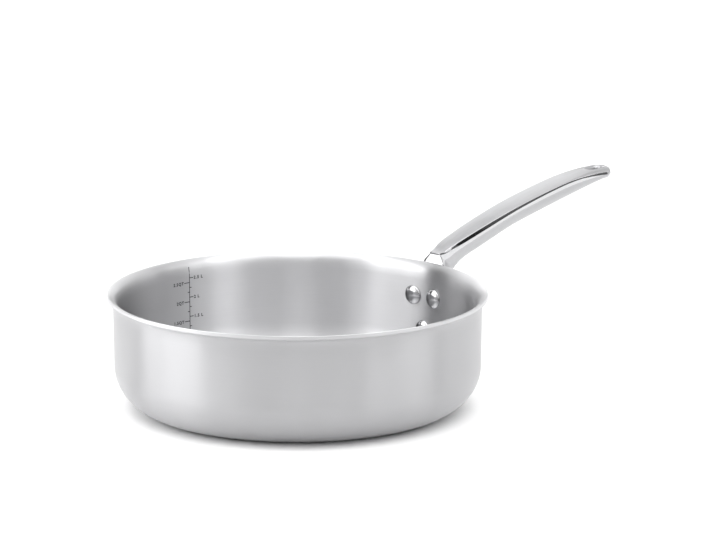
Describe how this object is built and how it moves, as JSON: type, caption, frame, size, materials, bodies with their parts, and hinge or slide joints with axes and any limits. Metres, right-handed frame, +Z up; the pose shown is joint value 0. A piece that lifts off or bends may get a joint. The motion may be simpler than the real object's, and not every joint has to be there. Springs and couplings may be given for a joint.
{
  "type": "saute pan",
  "caption": "Deep round stainless steel pan with a turned-out pouring lip and a long riveted cast handle with a hanging hole.",
  "frame": {"origin": "centre of the flat underside, on the surface that the pan stands on", "axes": "+Z up, +X from the pan's axis along the handle, +Y to the left of the handle"},
  "size_m": [0.4151, 0.2458, 0.117],
  "materials": {
    "outer_steel": "satin, brushed round the wall",
    "core_aluminium": "bare, seen only at the cut edge of the lip",
    "inner_steel": "satin, brushed round the wall",
    "handle_steel": "cast, satin top and polished sides",
    "rivet_steel": "polished"
  },
  "bodies": {
    "root": {"outer_ply": "outer_steel", "aluminium_core": "core_aluminium", "inner_ply": "inner_steel", "handle": "handle_steel", "rivet_upper_left": "rivet_steel", "rivet_upper_right": "rivet_steel", "rivet_lower": "rivet_steel"}
  },
  "joints": []
}
